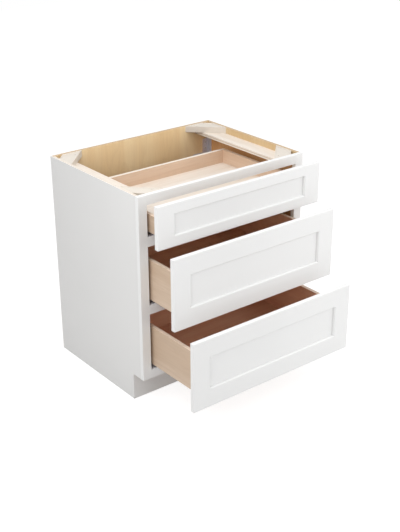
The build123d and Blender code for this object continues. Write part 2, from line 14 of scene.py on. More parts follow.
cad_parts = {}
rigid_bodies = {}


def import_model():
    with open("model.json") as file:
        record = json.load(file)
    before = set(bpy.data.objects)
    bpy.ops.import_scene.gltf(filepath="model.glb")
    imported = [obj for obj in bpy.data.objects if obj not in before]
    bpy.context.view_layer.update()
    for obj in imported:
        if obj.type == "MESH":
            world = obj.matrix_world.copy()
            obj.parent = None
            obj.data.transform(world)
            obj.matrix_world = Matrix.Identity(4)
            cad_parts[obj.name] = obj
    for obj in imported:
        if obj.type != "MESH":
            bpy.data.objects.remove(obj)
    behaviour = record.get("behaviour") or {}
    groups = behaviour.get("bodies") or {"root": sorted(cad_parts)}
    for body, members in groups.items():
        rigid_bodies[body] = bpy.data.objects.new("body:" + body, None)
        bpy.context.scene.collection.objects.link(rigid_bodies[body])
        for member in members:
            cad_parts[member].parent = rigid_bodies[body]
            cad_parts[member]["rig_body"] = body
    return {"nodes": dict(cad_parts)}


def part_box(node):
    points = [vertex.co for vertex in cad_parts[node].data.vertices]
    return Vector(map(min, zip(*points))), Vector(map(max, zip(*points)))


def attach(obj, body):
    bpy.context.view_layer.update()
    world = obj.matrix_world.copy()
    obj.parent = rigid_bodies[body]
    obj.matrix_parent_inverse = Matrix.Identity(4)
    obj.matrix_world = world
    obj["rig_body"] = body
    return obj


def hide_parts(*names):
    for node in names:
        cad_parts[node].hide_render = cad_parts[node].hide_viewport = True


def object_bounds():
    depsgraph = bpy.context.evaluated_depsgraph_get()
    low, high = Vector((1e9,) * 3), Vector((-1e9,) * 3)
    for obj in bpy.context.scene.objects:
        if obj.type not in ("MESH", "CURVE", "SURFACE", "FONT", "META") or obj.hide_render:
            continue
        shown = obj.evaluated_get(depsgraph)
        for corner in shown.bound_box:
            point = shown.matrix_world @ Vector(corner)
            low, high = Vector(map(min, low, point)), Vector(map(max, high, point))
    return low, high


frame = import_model()
nodes = frame["nodes"]
cad_low, cad_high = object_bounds()

X, Y, Z = 0, 1, 2
DRAWERS = (1, 2, 3)
MM = 0.001

# Where the photograph was taken from, and how
CAMERA_PLACE = Vector((-2.29051, -3.3588, 2.12626))
CAMERA_AZIMUTH = math.radians(-38.23)
CAMERA_ELEVATION = math.radians(24.56)
CAMERA_ROLL = math.radians(-0.28)
CAMERA_LENS = 67.10
SENSOR = 36.0

# Light: the sky's strength, and each lamp's azimuth, elevation (in degrees) and power
SKY = 0.54
LAMPS = {
    "front": (20, 12, 8.5),
    "right": (50, 20, 11),
    "left": (-55, 15, 7.8),
    "high": (-70, 45, 14),
    "top": (0, 85, 16.5),
    "back": (180, 12, 7),
}
LAMP_TARGET = Vector((0, -0.4, 0.45))
LAMP_DISTANCE = 2.3
LAMP_WIDTH = 1.2

# The floor: its reach each way, how light it is to the cabinet, and what the camera sees of it
FLOOR_REACH = 8.0
FLOOR_DROP = 0.3 * MM  # how far it lies below the cabinet
FLOOR_BOUNCE = 0.64
FLOOR_SHADE = 0.35  # the part of its look that comes from light, so how deep shadows are
FLOOR_GLOW = 0.82  # the even part of its look

# Colours, as linear values
PAINT = (0.83, 0.83, 0.825)  # face frame and drawer fronts
FILM = (0.78, 0.775, 0.765)  # outside of the cabinet's sides
CORE = (0.62, 0.46, 0.29)  # inner plies
PALE_CORE = (0.86, 0.80, 0.73)  # those of the left side and of the side rails
CREAM = (0.71, 0.65, 0.575)  # corner braces
ZINC = (0.72, 0.71, 0.75)  # slides and their brackets
SCREW = (0.55, 0.54, 0.52)
CUT_FIBRES = (0.86, 0.80, 0.73)  # what end grain multiplies a wood's colour by
GREY = (0.33, 0.34, 0.35)  # locking clips
DARK_GREY = (0.09, 0.09, 0.10)  # release levers
CLEAR = (0.90, 0.90, 0.88)  # bumpers

# Woods, each as a light and a dark tone
BIRCH = ((0.92, 0.725, 0.44), (0.86, 0.63, 0.35))  # back of the cabinet, and its toe kick
SIDE_BIRCH = ((0.76, 0.59, 0.35), (0.69, 0.50, 0.27))  # its sides, above the side rails
# The birch below is painted shade, darker and redder, for the sides under the side rails and for the
# bottom
SHADED_BIRCH = ((0.86, 0.52, 0.26), (0.78, 0.43, 0.19))  # its sides below them, and its bottom
# On drawer 1's bottom the pale tone below is painted light, for light from the open top, and on its end
# boards' tops a painted highlight
PALE = ((0.87, 0.81, 0.74), (0.81, 0.73, 0.64))  # side rails, and drawer 1's bottom and end boards' tops
# The next tone is a painted highlight on the up-facing top edges of the boxes' boards
WARM_HIGHLIGHT = ((0.88, 0.73, 0.60), (0.80, 0.63, 0.49))  # top edges of the boxes' other boards
MAPLE = ((0.68, 0.535, 0.41), (0.61, 0.46, 0.335))  # outside of the boxes
# The next tone is painted light: a lighter maple inside drawer 1, where light falls in from the open top
LIT_MAPLE = ((0.77, 0.59, 0.45), (0.70, 0.51, 0.37))  # inside of drawer 1
# The next tone is painted shade: a darker, redder maple inside and on the bottoms of drawers 2 and 3
SHADED_MAPLE = ((0.88, 0.565, 0.395), (0.82, 0.49, 0.33))  # inside of drawers 2 and 3
# In the next shares, drawer 1's 0.88 is painted shade, for the shadow its front casts on its box; the
# others differ a little
BOX_TONE_AND_SHADE = (0.88, 1.0, 0.99)  # how light the outside of each drawer's box is

# Radii of rounded edges
PANEL_EDGE = 0.4 * MM
RAIL_EDGE = 0.5 * MM
FRAME_EDGE = 1.0 * MM
FRONT_EDGE = 1.8 * MM
BOX_EDGE = 1.2 * MM
BRACE_EDGE = 0.8 * MM
CLIP_EDGE = 0.7 * MM
LEVER_EDGE = 0.4 * MM
SHEET_EDGE = 0.4 * MM

# The share of that radius on the edges inside an assembly of several boards
FRAME_JOINT = 0.35
FRONT_JOINT = 0.2
BOX_JOINT = 0.15

# Screws and bumpers
HEAD_RADIUS = 4.0 * MM
HEAD_HEIGHT = 2.4 * MM
SHANK_RADIUS = 2.0 * MM
TIP_LENGTH = 2.5 * MM
RECESS_DEPTH = 1.3 * MM
CABINET_SCREW_LENGTH = 13 * MM
FRONT_SCREW_LENGTH = 25 * MM
SCREW_SIDES = 32
BUMPER_SIDES = 28


# -------------------------------------------------------------------------- node kit


class Graph:
    """A node tree, with short calls for the nodes that recur."""

    def __init__(self, tree):
        self.tree = tree
        self.tree.nodes.clear()

    def add(self, kind, **settings):
        node = self.tree.nodes.new(kind)
        for name, value in settings.items():
            setattr(node, name, value)
        return node

    def link(self, source, target):
        self.tree.links.new(source, target)

    def feed(self, target, value):
        """Connects a socket, or sets a plain value."""
        if isinstance(value, bpy.types.NodeSocket):
            self.link(value, target)
        elif target.type == "RGBA":
            target.default_value = (*value, 1)
        else:
            target.default_value = value

    def math(self, operation, *values):
        """A sum on sockets or plain values."""
        node = self.add("ShaderNodeMath", operation=operation)
        for target, value in zip(node.inputs, values):
            self.feed(target, value)
        return node.outputs[0]

    def most(self, *values):
        """The largest of several values."""
        result = values[0]
        for value in values[1:]:
            result = self.math("MAXIMUM", result, value)
        return result

    def part(self, source, axis):
        """One component of a vector."""
        split = self.add("ShaderNodeSeparateXYZ")
        self.link(source, split.inputs[0])
        return split.outputs[axis]


class Shader(Graph):
    """A material with a principled shader and textures in the model's own frame."""

    def __init__(self, name):
        self.material = bpy.data.materials.new(name)
        self.material.use_nodes = True
        super().__init__(self.material.node_tree)
        self.bsdf = self.add("ShaderNodeBsdfPrincipled")
        output = self.add("ShaderNodeOutputMaterial")
        self.link(self.bsdf.outputs[0], output.inputs[0])
        coords = self.add("ShaderNodeTexCoord")
        self.place = coords.outputs["Object"]
        self.normal = coords.outputs["Normal"]

    def set(self, **values):
        """Sets the shader's own sockets, by name with _ for each space."""
        for name, value in values.items():
            self.feed(self.bsdf.inputs[name.replace("_", " ")], value)

    def stretch(self, source, low, high, to_low=0.0, to_high=1.0):
        """Maps a range of values smoothly to another, without passing its ends."""
        node = self.add("ShaderNodeMapRange", interpolation_type="SMOOTHSTEP")
        for target, value in zip(node.inputs, (source, low, high, to_low, to_high)):
            self.feed(target, value)
        return node.outputs[0]

    def mix(self, factor, a, b, blend="MIX"):
        """A colour between two others, each a socket or a plain colour."""
        node = self.add("ShaderNodeMix", data_type="RGBA", blend_type=blend)
        self.feed(node.inputs["Factor"], factor)
        self.feed(node.inputs[6], a)
        self.feed(node.inputs[7], b)
        return node.outputs[2]

    def scaled(self, scale, offset=0.0):
        """The place in the frame, scaled, and moved to another part of a texture."""
        node = self.add("ShaderNodeMapping")
        self.link(self.place, node.inputs["Vector"])
        node.inputs["Scale"].default_value = scale
        node.inputs["Location"].default_value = (offset, 0.7 * offset, 1.3 * offset)
        return node.outputs[0]

    def noise(self, scale, detail=2.0, offset=0.0, distortion=0.0):
        """Noise with a number of features to the metre along each axis."""
        node = self.add("ShaderNodeTexNoise")
        self.link(self.scaled(scale, offset), node.inputs["Vector"])
        node.inputs["Scale"].default_value = 1.0
        node.inputs["Detail"].default_value = detail
        node.inputs["Distortion"].default_value = distortion
        return node.outputs[0]

    def spots(self, scale):
        """Noise that is alike in every direction, spread over 0 to 1."""
        return self.stretch(self.noise((scale,) * 3), 0.3, 0.7)

    def shades(self, factor, colour, share):
        """A colour that darkens to a share of itself where the factor falls to 0."""
        return self.mix(factor, tuple(c * share for c in colour), colour)

    def facing(self, axis, sign=0, limit=0.7):
        """1 on faces that look along an axis, one way or either way, else 0."""
        size = self.part(self.normal, axis)
        size = self.math("MULTIPLY", size, float(sign)) if sign else self.math("ABSOLUTE", size)
        return self.math("GREATER_THAN", size, limit)

    def bump(self, height, strength, depth):
        """Relief of a given depth, too fine for the mesh."""
        node = self.add("ShaderNodeBump")
        self.feed(node.inputs["Height"], height)
        node.inputs["Strength"].default_value = strength
        node.inputs["Distance"].default_value = depth
        self.link(node.outputs[0], self.bsdf.inputs["Normal"])


def box_size(box):
    """The size of a box along each axis."""
    return box[1] - box[0]


def along(axis, lengthwise, across):
    """A scale that is one value along an axis and another across it."""
    return tuple(lengthwise if a == axis else across for a in range(3))


# ------------------------------------------------------------------------- materials
# Noise scales are features to the metre, and along() gives them along and across the grain.

EVEN = 0.985  # how dark the darkest spots of white surfaces are, as a share of their colour
FILM_SKIN = 0.05  # thickness of the film's edge, as a share of the board's
PLY_GLUE = 0.08  # width of a glue line, as a share of a ply's


def paint(name, grain):
    """Satin white paint with a faint orange peel, and the grain under it fainter still."""
    shader = Shader(name)
    shader.set(Base_Color=shader.shades(shader.spots(3), PAINT, EVEN))
    shader.set(Roughness=shader.stretch(shader.spots(40), 0.0, 1.0, 0.33, 0.41))
    shader.set(Specular_IOR_Level=0.45)
    fibre = shader.noise(along(grain, 9, 420), 3)
    peel = shader.noise((700,) * 3, 1.5)
    shader.bump(shader.math("MULTIPLY_ADD", fibre, 0.5, peel), 0.25, 0.12 * MM)
    return shader.material


def wood(shader, tones, grain, band=20, offset=0.0):
    """The colour and the fibres of birch or maple with its grain along an axis.

    From coarse to fine: bands, growth rings, streaks, fibres and flecks. Band is how many
    bands there are to the metre across the grain. The offset moves everything to another
    part of the noise, so that no two boards of a box are alike.
    """
    light, dark = tones
    bands = shader.noise(along(grain, 0.9, band), 2, offset + 3.1)
    colour = shader.mix(shader.stretch(bands, 0.35, 0.65), light, dark)
    growth = shader.noise(along(grain, 1.3, 0.8 * band), 2.5, offset, 0.35)
    ring = shader.math("FRACT", shader.math("MULTIPLY", growth, 11.0))
    line = shader.stretch(ring, 0.0, 0.45, 0.10, 0.0)  # darkest at each ring's start
    colour = shader.mix(line, colour, deeper(dark))
    streak = shader.noise(along(grain, 4, 130), 2, offset + 7.7)
    colour = shader.mix(shader.stretch(streak, 0.25, 0.75, 0.22, 0.0), colour, deeper(dark, 0.85))
    fibre = shader.noise(along(grain, 20, 850), 3, offset)
    colour = shader.mix(shader.stretch(fibre, 0.2, 0.8, 0.20, 0.0), colour, deeper(dark, 0.7))
    fleck = shader.noise(along(grain, 60, 520), 1, offset + 1.9)
    colour = shader.mix(shader.stretch(fleck, 0.66, 0.8, 0.0, 0.30), colour, deeper(dark, 0.8))
    return colour, fibre


def deeper(colour, share=0.55):
    """A darker wood colour, which is also more saturated."""
    return tuple(c * share ** power for c, power in zip(colour, (0.8, 1.1, 1.4)))


def end_grain(shader, colour):
    """Darkens a colour as cut fibres do, with open pores."""
    pores = shader.stretch(shader.noise((1300,) * 3, 2), 0.35, 0.6, 0.75, 1.0)
    cut = shader.mix(1.0, colour, CUT_FIBRES, "MULTIPLY")
    return shader.mix(1.0, cut, pores, "MULTIPLY")


def lacquer(shader, fibre):
    """The gloss and the relief of thin clear lacquer over open fibres."""
    shader.set(Roughness=shader.stretch(fibre, 0.2, 0.8, 0.40, 0.53))
    shader.set(Specular_IOR_Level=0.4)
    shader.bump(fibre, 0.3, 0.15 * MM)


def box_wood(name, grain, inside, shade, inner_light_and_shade_tones, top_highlight_tones, offset):
    """Lacquered maple, with inner tones that are painted light in drawer 1 and painted shade in drawers
    2 and 3, and a painted highlight on its top edges.
    """
    shader = Shader(name)
    # The outside's tones are scaled by shade, which on drawer 1 darkens them as painted shade
    tones = [tuple(c * shade for c in tone) for tone in MAPLE]
    colour, fibre = wood(shader, tones, grain, 26, offset)
    # The faces inside the box take the inner tones: painted light in drawer 1, painted shade in drawers
    # 2 and 3
    inner = 1.0
    for axis in (X, Y):
        middle, reach = (inside[0][axis] + inside[1][axis]) / 2, box_size(inside)[axis] / 2
        away = shader.math("SUBTRACT", shader.part(shader.place, axis), middle)
        within = shader.math("LESS_THAN", shader.math("ABSOLUTE", away), reach + 0.3 * MM)
        inner = shader.math("MULTIPLY", within, inner)
    colour = shader.mix(inner, colour, wood(shader, inner_light_and_shade_tones, grain, 26, offset)[0])
    colour = shader.mix(shader.facing(grain), colour, end_grain(shader, colour))
    # Faces that look up take the top tones, a painted highlight for light from above
    top = shader.mix(shader.noise(along(grain, 4, 160)), *top_highlight_tones)
    colour = shader.mix(shader.facing(Z, 1, 0.9), colour, top)
    shader.set(Base_Color=colour)
    lacquer(shader, fibre)
    return shader.material


def plywood(name, thick, grain, tones, core=CORE, plies=5, band=20, film=0, painted_shade_below=None):
    """Plywood, with a veneer on its two faces and its plies in layers on its edges.

    film is -1 or 1 where the low or the high face has a white film instead of wood, which
    the front edge of a side panel has too. Below a given height the veneer is deeper in tone,
    a painted shade for the shadow under the side rails.
    """
    shader = Shader(name)
    low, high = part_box(name)
    veneer, fibre = wood(shader, tones, grain, band)
    # Painted shade: below the given height the veneer takes the darker, redder birch
    if painted_shade_below:
        under = shader.math("LESS_THAN", shader.part(shader.place, Z), painted_shade_below)
        veneer = shader.mix(under, veneer, wood(shader, SHADED_BIRCH, grain, band)[0])
    depth = shader.math("SUBTRACT", shader.part(shader.place, thick), low[thick])
    level = shader.math("DIVIDE", depth, high[thick] - low[thick])
    ply = shader.math("MULTIPLY", level, float(plies))
    cross = shader.math("MODULO", shader.math("FLOOR", ply), 2.0)
    layers = shader.mix(cross, core, end_grain(shader, core))
    to_glue = shader.math("PINGPONG", ply, 0.5)
    glue = shader.stretch(to_glue, 0.0, PLY_GLUE, 0.5, 0.0)
    layers = shader.mix(glue, layers, deeper(core, 0.45))
    colour = shader.mix(shader.facing(thick), layers, veneer)
    if film:
        near = level if film < 0 else shader.math("SUBTRACT", 1.0, level)
        skin = shader.math("LESS_THAN", near, FILM_SKIN)
        covered = shader.most(shader.facing(thick, film, 0.35), skin)
        if thick == X:
            covered = shader.most(covered, shader.facing(Y, -1))
        colour = shader.mix(covered, colour, shader.shades(shader.spots(4), FILM, EVEN))
    shader.set(Base_Color=colour)
    lacquer(shader, fibre)
    return shader.material


def plastic(name, colour, rough):
    """Moulded plastic with a fine eroded texture."""
    shader = Shader(name)
    grain = shader.spots(900)
    shader.set(Base_Color=shader.shades(shader.spots(25), colour, 0.97))
    shader.set(Roughness=shader.stretch(grain, 0.0, 1.0, rough - 0.04, rough + 0.05))
    shader.bump(grain, 0.2, 0.1 * MM)
    return shader.material


def metal(name, colour, fine, rough, metallic):
    """Plated steel, with faint crystals, and marks of a given fineness along each axis."""
    shader = Shader(name)
    marks = shader.stretch(shader.noise(fine, 3), 0.25, 0.75)
    cells = shader.add("ShaderNodeTexVoronoi")
    shader.link(shader.scaled((300,) * 3), cells.inputs["Vector"])
    cells.inputs["Scale"].default_value = 1.0
    spangle = shader.stretch(shader.part(cells.outputs["Color"], X), 0.0, 1.0)
    shader.set(Base_Color=shader.shades(spangle, colour, 0.93))
    shader.set(Metallic=metallic)
    shader.set(Roughness=shader.stretch(marks, 0.0, 1.0, rough - 0.05, rough + 0.05))
    shader.bump(marks, 0.1, 0.02 * MM)
    return shader.material


def clear_rubber(name):
    """Clear soft plastic, a little milky."""
    shader = Shader(name)
    haze = shader.spots(500)
    shader.set(Base_Color=shader.shades(haze, CLEAR, 0.94))
    shader.set(Roughness=shader.stretch(haze, 0.0, 1.0, 0.12, 0.22))
    shader.set(IOR=1.46)
    shader.set(Transmission_Weight=0.75)
    return shader.material


# ---------------------------------------------------------------- edges of CAD pieces

SHARP = math.radians(30)  # edges past this angle are rounded
SMOOTH = math.radians(50)  # edges past this angle are shaded sharp
FLAT = math.radians(0.5)  # faces within this angle are one
SHORT = 1.5 * MM  # edges under this length, as around a bore, aren't rounded
TOUCH = 0.1 * MM  # points within this distance touch
SAME = 0.01 * MM  # points within this distance are one


def new_group(name, *inputs):
    """A geometry node tree, with its entry, its exit and its inputs' identifiers."""
    tree = bpy.data.node_groups.new(name, "GeometryNodeTree")
    tree.interface.new_socket("Mesh", in_out="INPUT", socket_type="NodeSocketGeometry")
    tree.interface.new_socket("Mesh", in_out="OUTPUT", socket_type="NodeSocketGeometry")
    keys = [
        tree.interface.new_socket(label, in_out="INPUT", socket_type=kind).identifier
        for label, kind in inputs
    ]
    graph = Graph(tree)
    return graph, graph.add("NodeGroupInput"), graph.add("NodeGroupOutput"), keys


def edge_weights():
    """Geometry nodes that weigh the edges to be rounded.

    An edge along the edges of an assembly's box weighs 1, any other sharp edge weighs a
    given share, and one too short to round weighs nothing.
    """
    graph, entry, leave, keys = new_group(
        "edge_weights",
        ("Low", "NodeSocketVector"),
        ("High", "NodeSocketVector"),
        ("Inner", "NodeSocketFloat"),
    )
    ends = graph.add("GeometryNodeInputMeshEdgeVertices")

    def vectors(operation, a, b=None):
        node = graph.add("ShaderNodeVectorMath", operation=operation)
        graph.feed(node.inputs[0], a)
        if b is not None:
            graph.feed(node.inputs[1], b)
        return node.outputs["Value" if operation == "DISTANCE" else "Vector"]

    first, last = ends.outputs["Position 1"], ends.outputs["Position 2"]
    middle = vectors("MULTIPLY", vectors("ADD", first, last), (0.5, 0.5, 0.5))
    count = 0.0
    for bound in ("Low", "High"):
        away = vectors("ABSOLUTE", vectors("SUBTRACT", middle, entry.outputs[bound]))
        for axis in (X, Y, Z):
            touches = graph.math("LESS_THAN", graph.part(away, axis), TOUCH)
            count = graph.math("ADD", count, touches)
    outer = graph.math("GREATER_THAN", count, 1.5)
    share = graph.math("MAXIMUM", outer, entry.outputs["Inner"])
    angle = graph.add("GeometryNodeInputMeshEdgeAngle").outputs["Unsigned Angle"]
    sharp = graph.math("GREATER_THAN", angle, SHARP)
    long_enough = graph.math("GREATER_THAN", vectors("DISTANCE", first, last), SHORT)
    weight = graph.math("MULTIPLY", graph.math("MULTIPLY", sharp, long_enough), share)
    store = graph.add("GeometryNodeStoreNamedAttribute", data_type="FLOAT", domain="EDGE")
    store.inputs["Name"].default_value = "bevel_weight_edge"
    graph.link(entry.outputs["Mesh"], store.inputs["Geometry"])
    graph.link(weight, store.inputs["Value"])
    graph.link(store.outputs[0], leave.inputs[0])
    return graph.tree, keys


def shade_by_angle():
    """Geometry nodes that smooth the faces and keep edges sharp past an angle."""
    graph, entry, leave, _ = new_group("shade_by_angle")
    angle = graph.add("GeometryNodeInputMeshEdgeAngle").outputs["Unsigned Angle"]
    gentle = graph.add("FunctionNodeCompare", data_type="FLOAT", operation="LESS_THAN")
    graph.feed(gentle.inputs["A"], angle)
    graph.feed(gentle.inputs["B"], SMOOTH)
    faces = graph.add("GeometryNodeSetShadeSmooth", domain="FACE")
    edges = graph.add("GeometryNodeSetShadeSmooth", domain="EDGE")
    graph.link(entry.outputs["Mesh"], faces.inputs["Geometry"])
    graph.link(faces.outputs[0], edges.inputs["Geometry"])
    graph.link(gentle.outputs[0], edges.inputs["Shade Smooth"])
    graph.link(edges.outputs[0], leave.inputs[0])
    return graph.tree


EDGE_WEIGHTS, WEIGHT_KEYS = edge_weights()
SHADE_BY_ANGLE = shade_by_angle()


def round_edges(name, radius, inner=1.0, within=None):
    """Rounds a CAD piece's edges by modifiers.

    Within is the box of the assembly that it belongs to, and inner the share of the radius
    on edges that aren't on that box's own edges.
    """
    piece = nodes[name]
    low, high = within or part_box(name)
    weld = piece.modifiers.new("weld", "WELD")
    weld.merge_threshold = SAME
    flat = piece.modifiers.new("flat", "DECIMATE")
    flat.decimate_type = "DISSOLVE"
    flat.angle_limit = FLAT
    weigh = piece.modifiers.new("weigh", "NODES")
    weigh.node_group = EDGE_WEIGHTS
    for key, value in zip(WEIGHT_KEYS, (low, high, inner)):
        weigh[key] = value
    bevel = piece.modifiers.new("round", "BEVEL")
    bevel.width = radius
    bevel.segments = 3
    bevel.limit_method = "WEIGHT"
    bevel.loop_slide = False
    shade = piece.modifiers.new("shade", "NODES")
    shade.node_group = SHADE_BY_ANGLE
    normal = piece.modifiers.new("normal", "WEIGHTED_NORMAL")
    normal.keep_sharp = True


def finish(name, material):
    """Gives a CAD piece its material in every slot it has."""
    for slot in nodes[name].material_slots:
        slot.material = material


def joined_box(*names):
    """The box that holds several nodes."""
    boxes = [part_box(name) for name in names]
    low = Vector([min(low[a] for low, _ in boxes) for a in (X, Y, Z)])
    high = Vector([max(high[a] for _, high in boxes) for a in (X, Y, Z)])
    return low, high


# ------------------------------------------------------------------------ new pieces


def new_piece(name, node, shape, material):
    """Makes an object of a bmesh, which takes a CAD node's place and rides on its body."""
    mesh = bpy.data.meshes.new(name)
    shape.to_mesh(mesh)
    shape.free()
    mesh.materials.append(material)
    for face in mesh.polygons:
        face.use_smooth = True
    piece = bpy.data.objects.new(name, mesh)
    bpy.context.scene.collection.objects.link(piece)
    shade = piece.modifiers.new("shade", "NODES")
    shade.node_group = SHADE_BY_ANGLE
    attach(piece, nodes[node]["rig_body"])
    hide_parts(node)


def solids(name):
    """The points of each separate solid in a CAD node."""
    shape = bmesh.new()
    shape.from_mesh(nodes[name].data)
    bmesh.ops.remove_doubles(shape, verts=shape.verts, dist=SAME)
    shape.verts.ensure_lookup_table()
    seen = set()
    found = []
    for start in shape.verts:
        if start.index in seen:
            continue
        seen.add(start.index)
        todo, points = [start], []
        while todo:
            vert = todo.pop()
            points.append(vert.co.copy())
            for edge in vert.link_edges:
                other = edge.other_vert(vert)
                if other.index not in seen:
                    seen.add(other.index)
                    todo.append(other)
        found.append(points)
    shape.free()
    return found


def lathe(profile, segments):
    """A closed solid of revolution about Z, from points of (radius, height) on its outline.

    The first and the last point lie on the axis.
    """
    shape = bmesh.new()
    first = shape.verts.new((0, 0, profile[0][1]))
    last = shape.verts.new((0, 0, profile[-1][1]))
    angles = [2 * math.pi * step / segments for step in range(segments)]
    rings = [
        [shape.verts.new((radius * math.cos(a), radius * math.sin(a), height)) for a in angles]
        for radius, height in profile[1:-1]
    ]
    for step in range(segments):
        after = (step + 1) % segments
        shape.faces.new((first, rings[0][after], rings[0][step]))
        shape.faces.new((last, rings[-1][step], rings[-1][after]))
        for near, far in zip(rings, rings[1:]):
            shape.faces.new((near[step], near[after], far[after], far[step]))
    bmesh.ops.recalc_face_normals(shape, faces=shape.faces)
    return shape


def cross_cutter():
    """A tapered cross for the recess of a screw's head, from above the head to its depth."""
    reach, wall = 0.56 * HEAD_RADIUS, 0.15 * HEAD_RADIUS  # half its length and half a bar's width
    wide_end = (1.25, -HEAD_HEIGHT - 0.3 * MM)  # size and height
    narrow_end = (0.45, -HEAD_HEIGHT + RECESS_DEPTH)
    outline = []
    for turn in range(4):
        angle = turn * math.pi / 2
        for across, out in ((wall, wall), (wall, reach), (-wall, reach)):
            x = across * math.cos(angle) - out * math.sin(angle)
            y = across * math.sin(angle) + out * math.cos(angle)
            outline.append((x, y))
    shape = bmesh.new()
    rings = [
        [shape.verts.new((x * size, y * size, height)) for x, y in outline]
        for size, height in (wide_end, narrow_end)
    ]
    shape.faces.new(rings[0])
    shape.faces.new(rings[1])
    for step in range(len(outline)):
        after = (step + 1) % len(outline)
        shape.faces.new((rings[0][step], rings[0][after], rings[1][after], rings[1][step]))
    bmesh.ops.recalc_face_normals(shape, faces=shape.faces)
    return shape


def cut_mesh(whole, tool):
    """The mesh that is left of one bmesh when another is cut from it."""
    objects = []
    for name, shape in (("screw_body", whole), ("screw_cut", tool)):
        mesh = bpy.data.meshes.new(name)
        shape.to_mesh(mesh)
        shape.free()
        made = bpy.data.objects.new(name, mesh)
        bpy.context.scene.collection.objects.link(made)
        objects.append(made)
    kept, cutter = objects
    recess = kept.modifiers.new("recess", "BOOLEAN")
    recess.object = cutter
    recess.solver = "EXACT"
    shown = kept.evaluated_get(bpy.context.evaluated_depsgraph_get())
    result = bpy.data.meshes.new_from_object(shown)
    for made in objects:
        bpy.data.objects.remove(made)
    return result


def screw_template(length):
    """A pan-head screw with a cross recess, along Z from its bearing face."""
    wall_share = 0.35  # of the head's height, below its dome
    dome = [
        (
            HEAD_RADIUS * math.cos(angle),
            -HEAD_HEIGHT * (wall_share + (1 - wall_share) * math.sin(angle)),
        )
        for angle in (math.radians(step * 15) for step in range(5, -1, -1))
    ]
    bevel = 0.1 * MM
    profile = [
        (0, -HEAD_HEIGHT),
        *dome,
        (HEAD_RADIUS, -bevel),
        (HEAD_RADIUS - bevel, 0),
        (SHANK_RADIUS, 0),
        (SHANK_RADIUS, length - TIP_LENGTH),
        (0, length),
    ]
    return cut_mesh(lathe(profile, SCREW_SIDES), cross_cutter())


def corners(points):
    """The lowest and the highest corner of a group of points."""
    low = Vector([min(p[a] for p in points) for a in (X, Y, Z)])
    high = Vector([max(p[a] for p in points) for a in (X, Y, Z)])
    return low, high


def make_screws(name, length):
    """Detailed screws where a CAD node has its plain ones."""
    template = screw_template(length)
    shape = bmesh.new()
    for count, points in enumerate(solids(name)):
        low, high = corners(points)
        size = high - low
        axis = max((X, Y, Z), key=lambda a: size[a])
        middle = (low + high) / 2
        others = [a for a in (X, Y, Z) if a != axis]
        head = [
            p[axis]
            for p in points
            if math.hypot(*(p[a] - middle[a] for a in others)) > HEAD_RADIUS - TOUCH
        ]
        way = 1 if sum(head) / len(head) < middle[axis] else -1
        seat = middle.copy()
        seat[axis] = max(head) if way > 0 else min(head)
        direction = Vector([way if a == axis else 0 for a in (X, Y, Z)])
        aim = direction.to_track_quat("Z", "Y").to_matrix().to_4x4()
        spin = Matrix.Rotation(count * 0.7, 4, "Z")  # so that no two crosses line up
        copy = template.copy()
        copy.transform(Matrix.Translation(seat) @ aim @ spin)
        shape.from_mesh(copy)
        bpy.data.meshes.remove(copy)
    new_piece(f"{name}_detailed", name, shape, SCREW_STEEL)


def make_bumpers(name):
    """Round clear domes where a CAD node has its faceted ones."""
    shape = bmesh.new()
    for points in solids(name):
        low, high = corners(points)
        radius, height = (high.x - low.x) / 2, high.y - low.y
        angles = [math.radians(step * 10) for step in range(1, 9)]
        arc = [(radius * math.sin(a) ** 0.8, height * math.cos(a) ** 0.7) for a in angles]
        profile = [(0, height), *arc, (radius, 0), (0, 0)]
        dome = lathe(profile, BUMPER_SIDES)
        turn = Matrix.Rotation(math.radians(-90), 4, "X")
        seat = Vector(((low.x + high.x) / 2, low.y, (low.z + high.z) / 2))
        bmesh.ops.transform(dome, matrix=Matrix.Translation(seat) @ turn, verts=dome.verts)
        mesh = bpy.data.meshes.new("dome")
        dome.to_mesh(mesh)
        dome.free()
        shape.from_mesh(mesh)
        bpy.data.meshes.remove(mesh)
    new_piece(f"{name}_domes", name, shape, CLEAR_RUBBER)


# --------------------------------------------------------------------------- carcass


def dress_carcass():
    """The plywood carcass, its rails and braces, and the painted face frame."""
    for side, outer, core in (("left", -1, PALE_CORE), ("right", 1, CORE)):
        panel, rail = f"side_panel_{side}", f"side_rail_{side}"
        under_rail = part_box(rail)[0].z
        # The side panel's veneer below its rail is painted shade
        birch = plywood(panel, X, Z, SIDE_BIRCH, core, band=14, film=outer, painted_shade_below=under_rail)
        finish(panel, birch)
        finish(rail, plywood(rail, Z, Y, PALE, PALE_CORE, plies=3))
        round_edges(panel, PANEL_EDGE)
        round_edges(rail, RAIL_EDGE)
    finish("back_panel", plywood("back_panel", Y, Z, BIRCH, band=10))
    # The bottom panel takes the darker birch, painted shade under the drawers
    finish("bottom_panel", plywood("bottom_panel", Z, X, SHADED_BIRCH, band=14))
    finish("toe_kick_board", plywood("toe_kick_board", Y, X, BIRCH, film=-1))
    for panel in ("back_panel", "bottom_panel", "toe_kick_board"):
        round_edges(panel, PANEL_EDGE)

    stiles = ("stile_left", "stile_right")
    whole = joined_box(*stiles)
    upright, level = paint("painted_stile", Z), paint("painted_rail", X)
    for stile in stiles:
        finish(stile, upright)
        round_edges(stile, FRAME_EDGE, FRAME_JOINT, whole)
    for rail in ("top_rail", "upper_mid_rail", "lower_mid_rail", "bottom_rail"):
        finish(rail, level)
        round_edges(rail, FRAME_EDGE, FRAME_JOINT, whole)

    cream = plastic("cream_plastic", CREAM, 0.45)
    for braces in ("corner_braces_front", "corner_braces_back"):
        finish(braces, cream)
        round_edges(braces, BRACE_EDGE)


